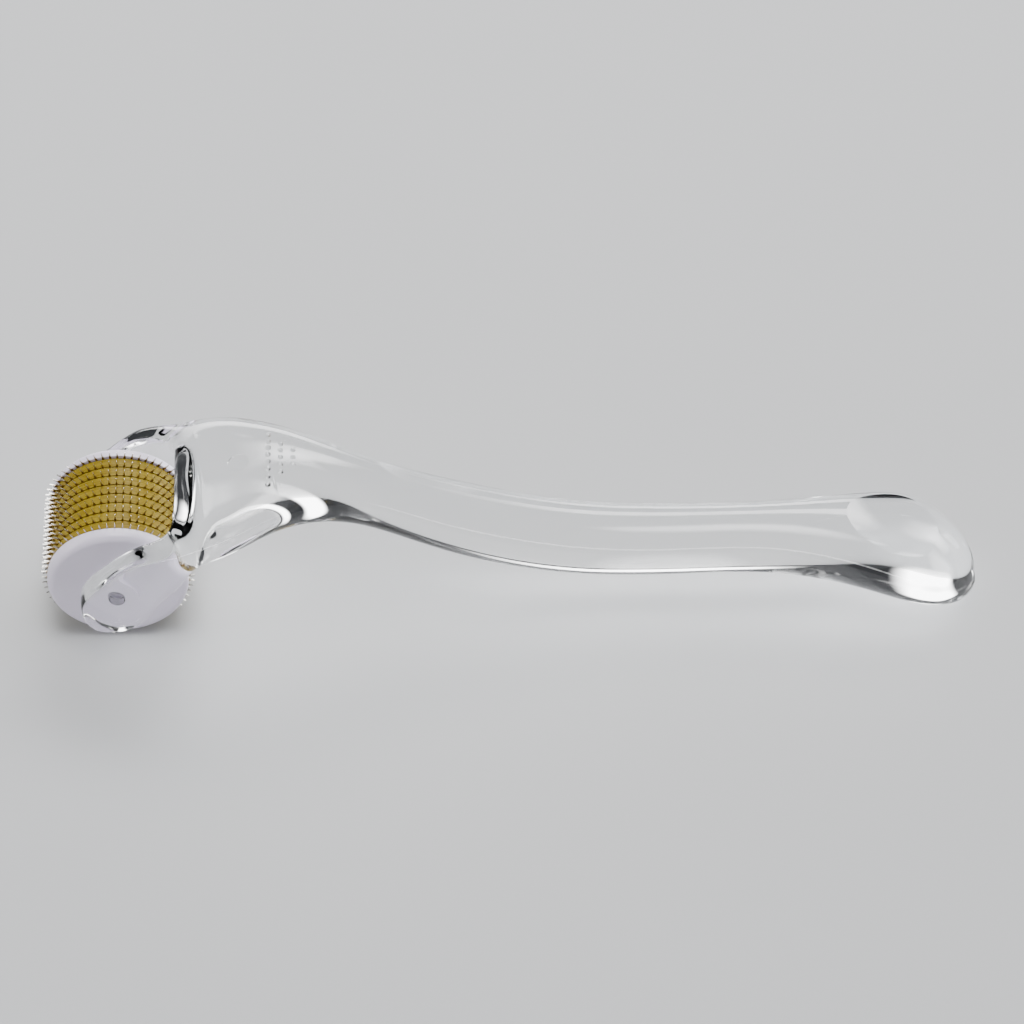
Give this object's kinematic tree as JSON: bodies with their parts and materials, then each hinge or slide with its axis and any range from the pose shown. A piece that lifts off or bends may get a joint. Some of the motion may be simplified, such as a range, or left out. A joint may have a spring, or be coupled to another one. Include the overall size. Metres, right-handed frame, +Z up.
{
  "type": "derma roller",
  "caption": "Hand-held skin needling roller: a clear S-curved handle with a bulb end, whose fork carries a free-turning drum of needle discs and amber rings.",
  "frame": {"origin": "on the surface that the roller lies on, under the middle of its whole length and width", "axes": "+Z up from that surface, +X from the drum to the tail of the handle, Y along the drum's axis"},
  "size_m": [0.142, 0.0294, 0.0297],
  "materials": {
    "clear_plastic": "polished clear moulded plastic",
    "white_plastic": "satin white moulded plastic",
    "amber_plastic": "translucent amber plastic, satin",
    "needle_steel": "bright thin stainless steel",
    "core_plastic": "plain moulded plastic"
  },
  "bodies": {
    "handle": {"handle": "clear_plastic"},
    "drum": {"end_cap_left": "white_plastic", "end_cap_right": "white_plastic", "drum_core": "core_plastic", "needle_disc_1": "needle_steel", "needle_disc_2": "needle_steel", "needle_disc_3": "needle_steel", "needle_disc_4": "needle_steel", "needle_disc_5": "needle_steel", "needle_disc_6": "needle_steel", "needle_disc_7": "needle_steel", "needle_disc_8": "needle_steel", "needle_disc_9": "needle_steel", "spacer_ring_1": "amber_plastic", "spacer_ring_2": "amber_plastic", "spacer_ring_3": "amber_plastic", "spacer_ring_4": "amber_plastic", "spacer_ring_5": "amber_plastic", "spacer_ring_6": "amber_plastic", "spacer_ring_7": "amber_plastic", "spacer_ring_8": "amber_plastic"}
  },
  "joints": [
    {"name": "drum_spin", "type": "hinge", "parent": "handle", "child": "drum", "pos_m": [-0.0595, 0, 0.01148], "axis": [0, 1, 0], "continuous": true}
  ]
}
